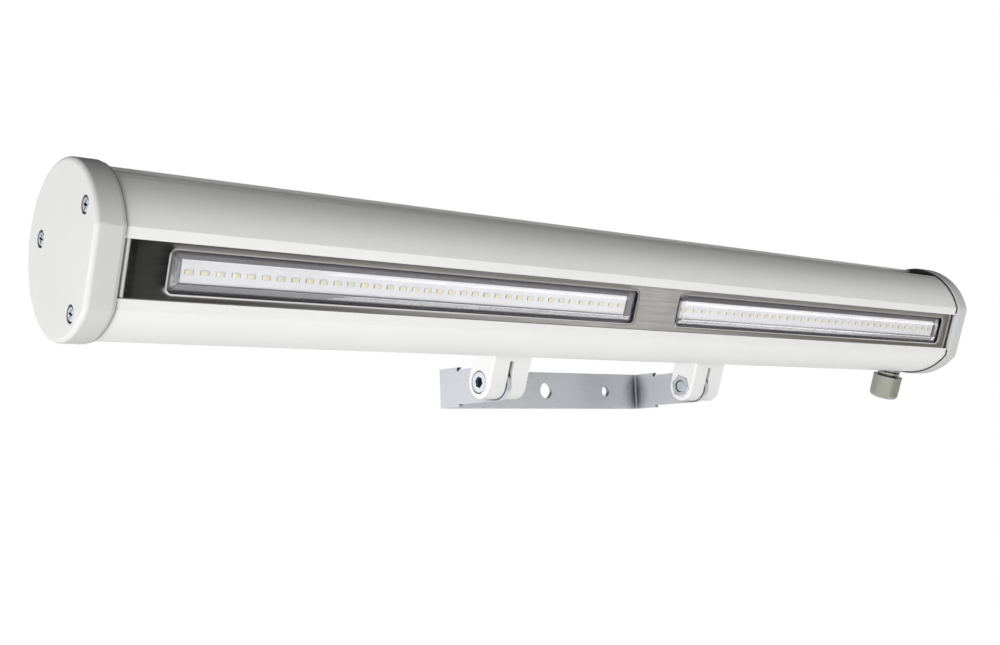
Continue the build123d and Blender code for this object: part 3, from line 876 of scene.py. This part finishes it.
# studio: a pale floor far below, soft lamps, which metal doesn't mirror, and a world that differs
# for light and for reflections
studio = {
    "floorDrop": -1.6,
    "floorRadius": 1.25,
    "floorCentre": 0.01,
    "floorSteps": (12, 96),
    "floorTone": (0.85, 0.85, 0.85, 1),
    "floorGlow": 0.78,
    "ambient": 0.11,
    "ambientRise": -0.08,
    "ambientRight": -0.10,
    "ambientLeast": 0.03,
    "keyPlace": (-2.6, -1.57, -1.04),
    "keySize": 2.2,
    "keyPower": 82.0,
    "sidePlace": (-3.19, 0.21, 0.05),
    "sideSize": 2.2,
    "sidePower": 46.0,
    "lowPlace": (0.0, -2.33, -2.21),
    "lowSize": 2.2,
    "lowPower": 25.0,
    "fillPlace": (2.26, -2.33, 0.05),
    "fillSize": 2.2,
    "fillPower": 36.0,
    "backPlace": (0.9, 2.6, 0.3),
    "backSize": 2.0,
    "backPower": 40.0,
    "target": (0, -0.07, 0.05),
    "dimFrom": (-0.24, -0.16),
    "backFrom": (-0.3, -0.1),
    "backTop": (0.05, 0.35),
    "behindFrom": (-0.12, 0.0),
    "groundFrom": (-0.55, -0.72),
    "darkRoom": (0.05, 0.05, 0.048),
}
# what metal and glass see upwards, from straight down (0) to straight up (1)
roomHeights = (
    (0.40, (0.30, 0.29, 0.28)),
    (0.655, (0.62, 0.61, 0.59)),
    (0.70, (1.0, 1.0, 1.0)),
    (0.79, (1.0, 1.0, 1.0)),
    (0.86, (0.05, 0.05, 0.048)),
)
# what they see round the room in front of the lamp, from its left side (0) to its right (1)
roomView = (
    (0.00, (1.0, 1.0, 1.0)),
    (0.44, (1.0, 1.0, 1.0)),
    (0.51, (0.01, 0.01, 0.01)),
    (0.61, (0.015, 0.015, 0.015)),
    (0.64, (0.045, 0.045, 0.045)),
    (0.69, (0.10, 0.10, 0.10)),
    (0.785, (0.82, 0.81, 0.79)),
    (0.80, (0.50, 0.495, 0.48)),
    (0.82, (0.28, 0.27, 0.25)),
    (0.85, (0.12, 0.10, 0.08)),
    (0.93, (1.0, 1.0, 1.0)),
)


def directRay(tree):
    # two masks, both 0 for the light that falls on the lamp: the first is 1 for what the camera and
    # glass see, the second for what metal sees too
    path = tree.node("ShaderNodeLightPath")
    clear = path["Is Camera Ray"].larger(path["Is Transmission Ray"])
    return clear, clear.larger(path["Is Glossy Ray"])


def whiteWorld():
    # light: falls off to the right and upwards; reflections: the room's view by compass direction
    world = NodeTree(bpy.data.worlds.new("studio"))
    bpy.context.scene.world = world.owner
    ray = world.node("ShaderNodeTexCoord")["Generated"]
    parts = world.node("ShaderNodeSeparateXYZ", {}, {"Vector": ray})
    x, y, z = parts["X"], parts["Y"], parts["Z"]
    light = x * studio["ambientRight"] + z * studio["ambientRise"] + studio["ambient"]
    light = light.larger(studio["ambientLeast"])
    compass = x.maths("ARCTAN2", x, y * -1)
    share = world.spread(compass, -math.pi / 2, math.pi / 2, 0, 1)
    room = world.node("ShaderNodeValToRGB", {"stops": roomView}, {"Fac": share})["Color"]
    height = world.spread(z, -1, 1, 0, 1)
    above = world.node("ShaderNodeValToRGB", {"stops": roomHeights}, {"Fac": height})["Color"]
    above = world.blend(world.spread(y, *studio["backFrom"], 0, 1), above, studio["darkRoom"])
    room = world.blend(world.spread(z, *studio["dimFrom"], 0, 1), room, above)
    behind = world.spread(y, *studio["behindFrom"], 0, 1)
    behind = behind * world.spread(z, *studio["backTop"], 1, 0)
    white = behind.larger(world.spread(z, *studio["groundFrom"], 0, 1))
    room = world.blend(white, room, (1, 1, 1))
    clear, direct = directRay(world)
    seen = world.blend(clear, room, (1, 1, 1))
    glow = world.node("ShaderNodeBackground", {}, {"Color": seen})["Background"]
    dim = world.node("ShaderNodeBackground", {}, {"Strength": light})["Background"]
    world.finish(world.mixShader(direct, dim, glow))


def paleFloor():
    # a disc whose white comes half from its own glow, so that a shadow still shows on it
    rows, columns = studio["floorSteps"]
    turn = np.linspace(0, 2 * math.pi, columns, endpoint=False)
    reach = np.linspace(studio["floorCentre"], 1, rows)[:, None] * studio["floorRadius"]
    level = np.full((rows, columns), studio["floorDrop"])
    disc = np.stack([reach * np.cos(turn), reach * np.sin(turn), level], 2).reshape(-1, 3)
    mesh = bpy.data.meshes.new("floor")
    mesh.from_pydata(disc.tolist(), [], gridFaces(rows, columns).tolist())
    floor = newObject("floor", mesh)
    finish = newFinish("paleFloor")
    plain = finish.node("ShaderNodeBsdfDiffuse", {}, {"Color": studio["floorTone"]})["BSDF"]
    glow = finish.node("ShaderNodeEmission", {}, {"Strength": studio["floorGlow"]})["Emission"]
    bright = finish.node("ShaderNodeAddShader", {}, {0: plain, 1: glow})["Shader"]
    finish.finish(finish.mixShader(directRay(finish)[1], plain, bright))
    mesh.materials.append(finish.owner)


def softLamp(name):
    data = bpy.data.lights.new(name + "Lamp", "AREA")
    data.shape = "DISK"
    data.size = studio[name + "Size"]
    data.energy = studio[name + "Power"]
    lamp = newObject(name + "Lamp", data)
    lamp.location = studio[name + "Place"]
    aim = Vector(studio["target"]) - lamp.location
    lamp.rotation_euler = aim.to_track_quat("-Z", "Y").to_euler()
    lamp.visible_glossy = False


whiteWorld()
paleFloor()
for name in ("key", "side", "low", "fill", "back"):
    softLamp(name)
print("studio lit")

cameraLook = {
    "place": (-0.5481, -0.6122, -0.0474),
    "turn": (96.54, 2.03, -39.71),
    "lens": 44.475,
    "sensor": 36.0,
    "nearest": 0.01,
}
camera = newObject("camera", bpy.data.cameras.new("camera"))
camera.data.lens = cameraLook["lens"]
camera.data.sensor_width = cameraLook["sensor"]
camera.data.clip_start = cameraLook["nearest"]
camera.location = cameraLook["place"]
camera.rotation_euler = Euler([math.radians(part) for part in cameraLook["turn"]], "XYZ")
bpy.context.scene.camera = camera
bpy.context.scene.view_settings.view_transform = "Standard"
